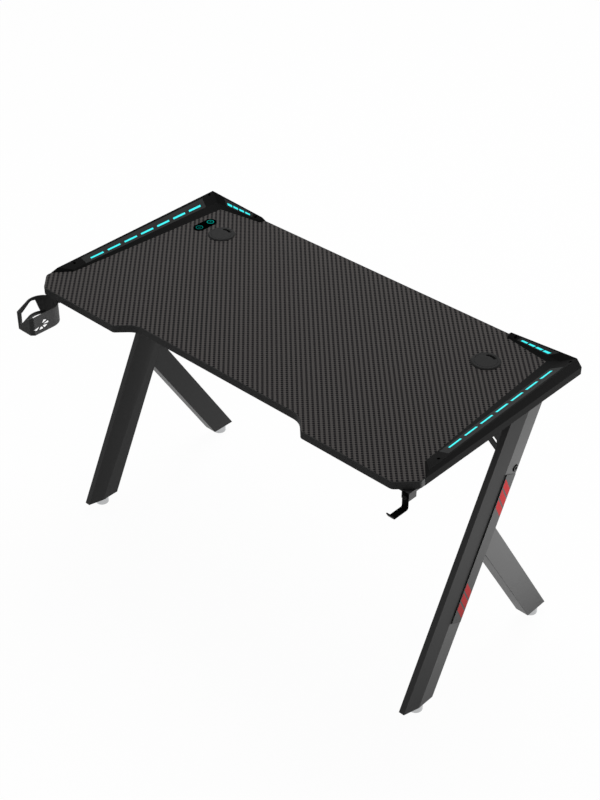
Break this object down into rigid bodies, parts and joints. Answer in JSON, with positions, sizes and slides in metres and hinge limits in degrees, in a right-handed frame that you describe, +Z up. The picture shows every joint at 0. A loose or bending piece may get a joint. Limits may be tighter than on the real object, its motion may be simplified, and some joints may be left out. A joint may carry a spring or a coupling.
{
  "type": "gaming desk",
  "caption": "Worktop with a front recess and carbon pattern, faceted light housings at sides and rear, splayed steel legs, cable grommets, cup holder and headphone hook.",
  "frame": {"origin": "on the floor under the middle of the whole desk's bounding box", "axes": "+X to the sitter's right along the worktop, +Y from the sitter to the rear edge, +Z up"},
  "size_m": [1.2, 0.7, 0.7654],
  "materials": {
    "board": "raw particle board",
    "carbon_laminate": "printed twill pattern, satin",
    "edge_band": "satin",
    "housing_plastic": "satin moulding",
    "panel_plastic": "fine matt",
    "lens": "lit lens",
    "circuit": "lacquered",
    "steel": "zinc plated",
    "black_steel": "black oxide",
    "touch_glass": "polished",
    "grommet_plastic": "satin",
    "frame_paint": "satin powder coat",
    "foot_chrome": "polished",
    "badge_plastic": "matt",
    "cup_plastic": "satin",
    "hook_paint": "satin powder coat"
  },
  "bodies": {
    "desk": {"cross_beam": "frame_paint", "cup_holder": "cup_plastic", "cup_holder_screws": "steel", "desktop_core": "board", "desktop_laminate": "carbon_laminate", "front_edge_band": "edge_band", "headphone_hook": "hook_paint", "hook_mount_plate": "hook_paint", "hook_mount_screws": "steel", "hook_screw_and_nut": "black_steel", "left_back_lenses": "lens", "left_back_light_panel": "panel_plastic", "left_beam_bolts": "steel", "left_front_foot_plate": "frame_paint", "left_grommet_ring": "grommet_plastic", "left_gusset": "frame_paint", "left_housing_screws": "black_steel", "left_leg_bolt": "steel", "left_light_housing": "housing_plastic", "left_light_strips": "circuit", "left_main_leg": "frame_paint", "left_rail_caps": "cup_plastic", "left_rail_screws": "steel", "left_rear_foot_plate": "frame_paint", "left_rear_leg": "frame_paint", "left_side_lenses": "lens", "left_side_light_panel": "panel_plastic", "left_side_rail": "frame_paint", "light_controller": "cup_plastic", "light_controller_screws": "steel", "rear_edge_band": "edge_band", "right_back_lenses": "lens", "right_back_light_panel": "panel_plastic", "right_beam_bolts": "steel", "right_front_foot_plate": "frame_paint", "right_grommet_ring": "grommet_plastic", "right_gusset": "frame_paint", "right_housing_screws": "black_steel", "right_leg_badge": "badge_plastic", "right_leg_bolt": "steel", "right_light_housing": "housing_plastic", "right_light_strips": "circuit", "right_main_leg": "frame_paint", "right_rail_caps": "cup_plastic", "right_rail_screws": "steel", "right_rear_foot_plate": "frame_paint", "right_rear_leg": "frame_paint", "right_side_lenses": "lens", "right_side_light_panel": "panel_plastic", "right_side_rail": "frame_paint", "touch_circuit": "circuit", "touch_panel": "touch_glass"},
    "left_lid": {"left_grommet_lid": "grommet_plastic"},
    "right_lid": {"right_grommet_lid": "grommet_plastic"},
    "left_front_foot": {"left_front_levelling_foot": "foot_chrome"},
    "left_rear_foot": {"left_rear_levelling_foot": "foot_chrome"},
    "right_front_foot": {"right_front_levelling_foot": "foot_chrome"},
    "right_rear_foot": {"right_rear_levelling_foot": "foot_chrome"}
  },
  "joints": [
    {"name": "left_lid_lift", "type": "slide", "parent": "desk", "child": "left_lid", "axis": [0, 0, 1], "range_m": [0, 0.03]},
    {"name": "right_lid_lift", "type": "slide", "parent": "desk", "child": "right_lid", "axis": [0, 0, 1], "range_m": [0, 0.03]},
    {"name": "left_front_foot_screw", "type": "slide", "parent": "desk", "child": "left_front_foot", "axis": [0, 0, -1], "range_m": [0, 0.012]},
    {"name": "left_rear_foot_screw", "type": "slide", "parent": "desk", "child": "left_rear_foot", "axis": [0, 0, -1], "range_m": [0, 0.012]},
    {"name": "right_front_foot_screw", "type": "slide", "parent": "desk", "child": "right_front_foot", "axis": [0, 0, -1], "range_m": [0, 0.012]},
    {"name": "right_rear_foot_screw", "type": "slide", "parent": "desk", "child": "right_rear_foot", "axis": [0, 0, -1], "range_m": [0, 0.012]}
  ]
}
